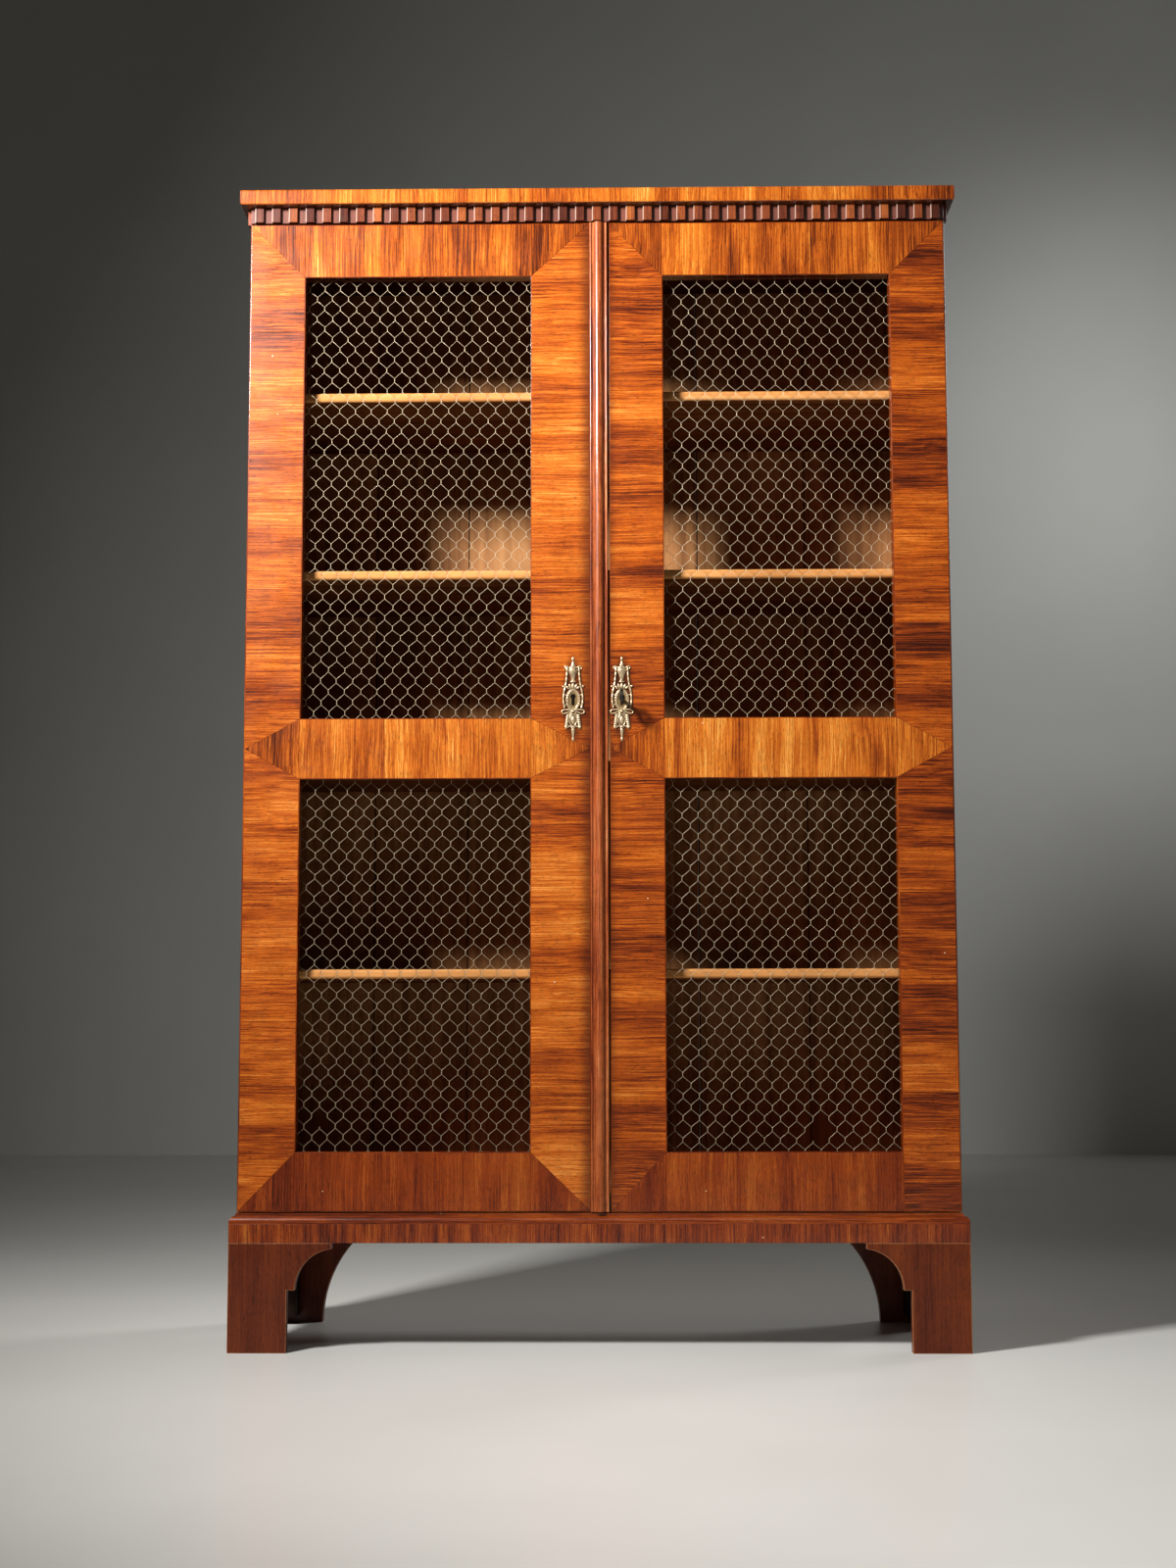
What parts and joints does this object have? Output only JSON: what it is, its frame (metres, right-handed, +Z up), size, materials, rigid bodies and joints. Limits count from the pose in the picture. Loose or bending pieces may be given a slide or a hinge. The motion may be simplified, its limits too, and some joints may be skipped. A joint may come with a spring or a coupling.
{
  "type": "display cabinet",
  "caption": "Tall two-door display cabinet with wire-net door panels, inner shelves, dentil cornice, moulded plinth and bracket feet.",
  "frame": {"origin": "on the floor, under the middle of the bounding box", "axes": "+Z up, +X to the right of a viewer who faces the doors, and the doors face -Y"},
  "size_m": [1.155, 0.432, 1.85],
  "materials": {
    "mahogany": "crossbanded veneer, French polished, worn",
    "pine": "planed and bare, aged",
    "brass": "cast and chased, dulled",
    "iron": "forged, oiled and worn",
    "net_wire": "drawn wire, dull"
  },
  "bodies": {
    "left_door": {"astragal": "mahogany", "left_bottom_rail": "mahogany", "left_escutcheon": "brass", "left_lower_net": "net_wire", "left_meeting_stile": "mahogany", "left_middle_rail": "mahogany", "left_net_beads": "pine", "left_outer_stile": "mahogany", "left_pivots": "iron", "left_top_rail": "mahogany", "left_upper_net": "net_wire", "slide_bolt_guides": "iron", "strike_plate": "brass"},
    "carcass": {"back_boards": "pine", "base_moulding_front": "mahogany", "base_moulding_left": "mahogany", "base_moulding_right": "mahogany", "case_bottom": "pine", "case_top": "pine", "cornice_slab": "mahogany", "dentils_front": "mahogany", "dentils_left": "mahogany", "dentils_right": "mahogany", "foot_front_left": "mahogany", "foot_front_left_side": "mahogany", "foot_front_right": "mahogany", "foot_front_right_side": "mahogany", "foot_glue_blocks": "pine", "foot_rear_left": "pine", "foot_rear_left_side": "mahogany", "foot_rear_right": "pine", "foot_rear_right_side": "mahogany", "frieze_rail": "mahogany", "pivot_sockets": "iron", "plinth_back": "pine", "plinth_front": "mahogany", "plinth_left": "mahogany", "plinth_right": "mahogany", "shelf_bearers": "pine", "shelf_high": "pine", "shelf_low": "pine", "shelf_rail": "pine", "shelf_upper": "pine", "side_left": "mahogany", "side_right": "mahogany"},
    "bottom_bolt": {"bottom_bolt": "iron"},
    "key": {"key": "iron"},
    "lock_bolt": {"lock_bolt": "iron"},
    "right_door": {"lock_case": "iron", "right_bottom_rail": "mahogany", "right_escutcheon": "brass", "right_lower_net": "net_wire", "right_meeting_stile": "mahogany", "right_middle_rail": "mahogany", "right_net_beads": "pine", "right_outer_stile": "mahogany", "right_pivots": "iron", "right_top_rail": "mahogany", "right_upper_net": "net_wire"},
    "top_bolt": {"top_bolt": "iron"}
  },
  "joints": [
    {"name": "left_door_hinge", "type": "hinge", "parent": "carcass", "child": "left_door", "pos_m": [-0.557, -0.149, 0.212], "axis": [0, 0, -1], "range_deg": [0, 110]},
    {"name": "right_door_hinge", "type": "hinge", "parent": "carcass", "child": "right_door", "pos_m": [0.557, -0.149, 0.212], "axis": [0, 0, 1], "range_deg": [0, 110]},
    {"name": "key_turn", "type": "hinge", "parent": "right_door", "child": "key", "pos_m": [0.0387, -0.164, 1.015], "axis": [0, -1, 0], "range_deg": [0, 360]},
    {"name": "lock_bolt_slide", "type": "slide", "parent": "right_door", "child": "lock_bolt", "axis": [-1, 0, 0], "range_m": [0, 0.012]},
    {"name": "top_bolt_slide", "type": "slide", "parent": "left_door", "child": "top_bolt", "axis": [0, 0, 1], "range_m": [0, 0.015]},
    {"name": "bottom_bolt_slide", "type": "slide", "parent": "left_door", "child": "bottom_bolt", "axis": [0, 0, -1], "range_m": [0, 0.015]}
  ],
  "couplings": [
    {"joint": "key_turn", "follows": "lock_bolt_slide", "rad_per_m": 523.6}
  ]
}
